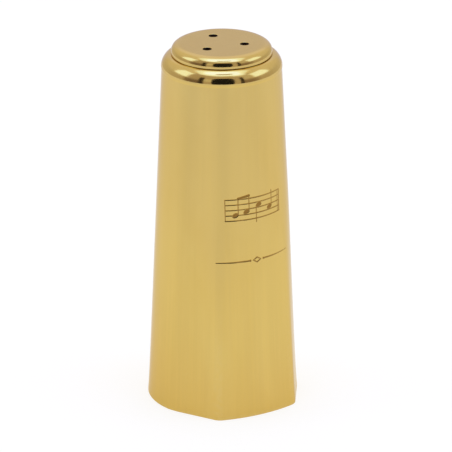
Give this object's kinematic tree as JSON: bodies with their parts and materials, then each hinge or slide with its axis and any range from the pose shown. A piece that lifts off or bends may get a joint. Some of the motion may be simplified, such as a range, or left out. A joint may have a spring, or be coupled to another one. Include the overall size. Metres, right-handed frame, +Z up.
{
  "type": "saxophone mouthpiece cap",
  "caption": "Tapered gold-lacquered brass cap that slips over a saxophone mouthpiece and its ligature, with a pressed screw channel and a raised vented end disc.",
  "frame": {"origin": "centre of the open mouth, on the round body's axis, in the plane of the mouth's rim", "axes": "+Z up the body's axis, from the open mouth to the closed end; -Y through the middle of the channel that clears the ligature's screws"},
  "size_m": [0.032, 0.0321, 0.078],
  "materials": {
    "gold_lacquer": "polished sheet brass under clear gold-tinted lacquer, with very fine lengthwise drawing lines",
    "solder": "dull grey soft solder, as it flowed"
  },
  "bodies": {
    "root": {"body_shell": "gold_lacquer", "end_disc": "gold_lacquer", "solder_joint_ring": "solder"}
  },
  "joints": []
}
